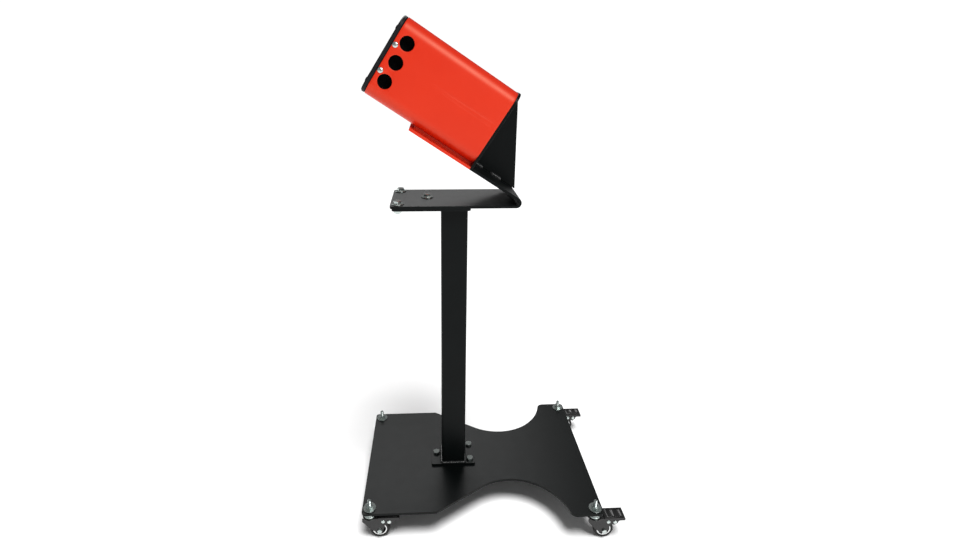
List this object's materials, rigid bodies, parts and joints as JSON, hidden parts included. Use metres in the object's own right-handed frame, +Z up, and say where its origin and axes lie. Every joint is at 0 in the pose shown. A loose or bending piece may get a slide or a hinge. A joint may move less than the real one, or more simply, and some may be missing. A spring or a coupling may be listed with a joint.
{
  "type": "tilted housing on wheeled stand",
  "caption": "Red box-section housing tilted on a folded black bracket, carried by a square post on a scooped floor plate with braked swivel casters.",
  "frame": {"origin": "on the floor, in the middle of the overall footprint", "axes": "+Z up; +X along the base toward the deeper tabs, the way the casters trail; the housing rises toward -X; Y = 0 is the plane of symmetry of base, post and bracket"},
  "size_m": [0.6536, 0.426, 1.2348],
  "materials": {
    "black_coat": "satin powder coat",
    "red_coat": "semi-gloss",
    "weld_bead": "coated weld bead",
    "zinc_steel": "bright zinc",
    "black_plastic": "moulded",
    "black_screw": "black oxide",
    "dark_inside": "matt black",
    "caster_black": "gloss black",
    "tyre_rubber": "smooth",
    "chrome_ring": "polished"
  },
  "bodies": {
    "stand": {"base_plate": "black_coat", "foot_plate": "black_coat", "post_tube": "black_coat", "foot_weld": "weld_bead", "foot_bolts": "zinc_steel", "foot_nuts": "zinc_steel", "top_flange": "black_coat", "tilt_bracket": "black_coat", "end_plate": "black_coat", "gusset_plate": "black_coat", "gusset_welds": "weld_bead", "bracket_bolts": "zinc_steel", "bracket_washers": "zinc_steel", "bracket_nuts": "zinc_steel", "housing_shell": "red_coat", "front_cap": "black_plastic", "cap_screws": "black_screw", "side_screws": "zinc_steel", "inner_liner": "dark_inside", "side_cups": "dark_inside", "rail_plate": "red_coat", "rail_spacer": "red_coat", "rail_screws": "zinc_steel", "caster_washers": "zinc_steel", "caster_nuts": "zinc_steel", "caster_stems": "zinc_steel"},
    "swivel_front_left": {"fork_front_left": "caster_black", "race_front_left": "zinc_steel", "rivets_front_left": "zinc_steel", "axle_front_left": "zinc_steel"},
    "wheel_front_left": {"tyre_front_left": "tyre_rubber", "hub_front_left": "black_plastic", "wheel_rings_front_left": "chrome_ring"},
    "brake_front_left": {"pedal_front_left": "caster_black"},
    "swivel_rear_left": {"fork_rear_left": "caster_black", "race_rear_left": "zinc_steel", "rivets_rear_left": "zinc_steel", "axle_rear_left": "zinc_steel"},
    "wheel_rear_left": {"tyre_rear_left": "tyre_rubber", "hub_rear_left": "black_plastic", "wheel_rings_rear_left": "chrome_ring"},
    "brake_rear_left": {"pedal_rear_left": "caster_black"},
    "swivel_front_right": {"fork_front_right": "caster_black", "race_front_right": "zinc_steel", "rivets_front_right": "zinc_steel", "axle_front_right": "zinc_steel"},
    "wheel_front_right": {"tyre_front_right": "tyre_rubber", "hub_front_right": "black_plastic", "wheel_rings_front_right": "chrome_ring"},
    "brake_front_right": {"pedal_front_right": "caster_black"},
    "swivel_rear_right": {"fork_rear_right": "caster_black", "race_rear_right": "zinc_steel", "rivets_rear_right": "zinc_steel", "axle_rear_right": "zinc_steel"},
    "wheel_rear_right": {"tyre_rear_right": "tyre_rubber", "hub_rear_right": "black_plastic", "wheel_rings_rear_right": "chrome_ring"},
    "brake_rear_right": {"pedal_rear_right": "caster_black"}
  },
  "joints": [
    {"name": "swivel_turn_front_left", "type": "hinge", "parent": "stand", "child": "swivel_front_left", "pos_m": [-0.30825, -0.1685, 0.06], "axis": [0, 0, 1], "continuous": true},
    {"name": "wheel_spin_front_left", "type": "hinge", "parent": "swivel_front_left", "child": "wheel_front_left", "pos_m": [-0.28425, -0.1685, 0.025], "axis": [0, 1, 0], "continuous": true},
    {"name": "brake_press_front_left", "type": "hinge", "parent": "swivel_front_left", "child": "brake_front_left", "pos_m": [-0.25975, -0.1685, 0.054], "axis": [0, 1, 0], "range_deg": [0, 12]},
    {"name": "swivel_turn_rear_left", "type": "hinge", "parent": "stand", "child": "swivel_rear_left", "pos_m": [-0.30825, 0.1685, 0.06], "axis": [0, 0, 1], "continuous": true},
    {"name": "wheel_spin_rear_left", "type": "hinge", "parent": "swivel_rear_left", "child": "wheel_rear_left", "pos_m": [-0.28425, 0.1685, 0.025], "axis": [0, 1, 0], "continuous": true},
    {"name": "brake_press_rear_left", "type": "hinge", "parent": "swivel_rear_left", "child": "brake_rear_left", "pos_m": [-0.25975, 0.1685, 0.054], "axis": [0, 1, 0], "range_deg": [0, 12]},
    {"name": "swivel_turn_front_right", "type": "hinge", "parent": "stand", "child": "swivel_front_right", "pos_m": [0.25275, -0.1945, 0.06], "axis": [0, 0, 1], "continuous": true},
    {"name": "wheel_spin_front_right", "type": "hinge", "parent": "swivel_front_right", "child": "wheel_front_right", "pos_m": [0.27675, -0.1945, 0.025], "axis": [0, 1, 0], "continuous": true},
    {"name": "brake_press_front_right", "type": "hinge", "parent": "swivel_front_right", "child": "brake_front_right", "pos_m": [0.30125, -0.1945, 0.054], "axis": [0, 1, 0], "range_deg": [0, 12]},
    {"name": "swivel_turn_rear_right", "type": "hinge", "parent": "stand", "child": "swivel_rear_right", "pos_m": [0.25275, 0.1945, 0.06], "axis": [0, 0, 1], "continuous": true},
    {"name": "wheel_spin_rear_right", "type": "hinge", "parent": "swivel_rear_right", "child": "wheel_rear_right", "pos_m": [0.27675, 0.1945, 0.025], "axis": [0, 1, 0], "continuous": true},
    {"name": "brake_press_rear_right", "type": "hinge", "parent": "swivel_rear_right", "child": "brake_rear_right", "pos_m": [0.30125, 0.1945, 0.054], "axis": [0, 1, 0], "range_deg": [0, 12]}
  ]
}
